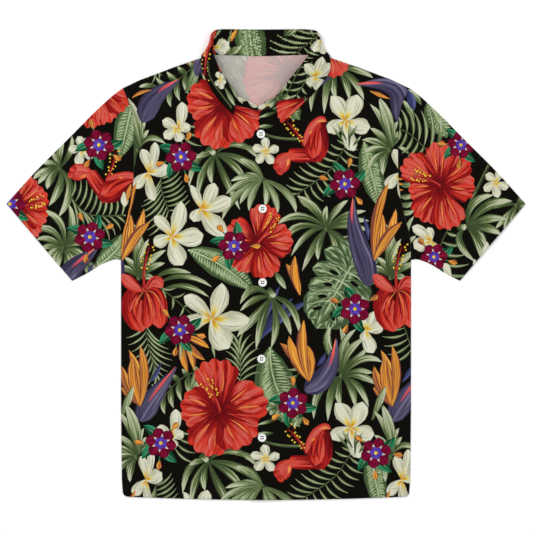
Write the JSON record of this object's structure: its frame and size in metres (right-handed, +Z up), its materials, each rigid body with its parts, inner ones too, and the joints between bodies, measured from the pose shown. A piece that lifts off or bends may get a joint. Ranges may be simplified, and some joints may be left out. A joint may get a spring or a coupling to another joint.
{
  "type": "hawaiian shirt",
  "caption": "Short-sleeved button-front shirt with a shirt collar, in black cotton with a tropical flower print, buttoned and laid flat on its back.",
  "frame": {"origin": "on the table under the middle of the shirt's box", "axes": "+X to the viewer's right, which is the wearer's left; +Y from hem to collar; +Z up, away from the table"},
  "size_m": [0.924, 0.8382, 0.0269],
  "materials": {
    "printed_cloth": "plain-woven cotton, matt, printed on its right side",
    "button": "glossy white with grey thread"
  },
  "bodies": {
    "root": {"back": "printed_cloth", "front_right": "printed_cloth", "front_left": "printed_cloth", "sleeve_left": "printed_cloth", "sleeve_right": "printed_cloth", "collar_stand": "printed_cloth", "collar_leaf": "printed_cloth", "button_1": "button", "button_2": "button", "button_3": "button", "button_4": "button", "button_5": "button"}
  },
  "joints": []
}
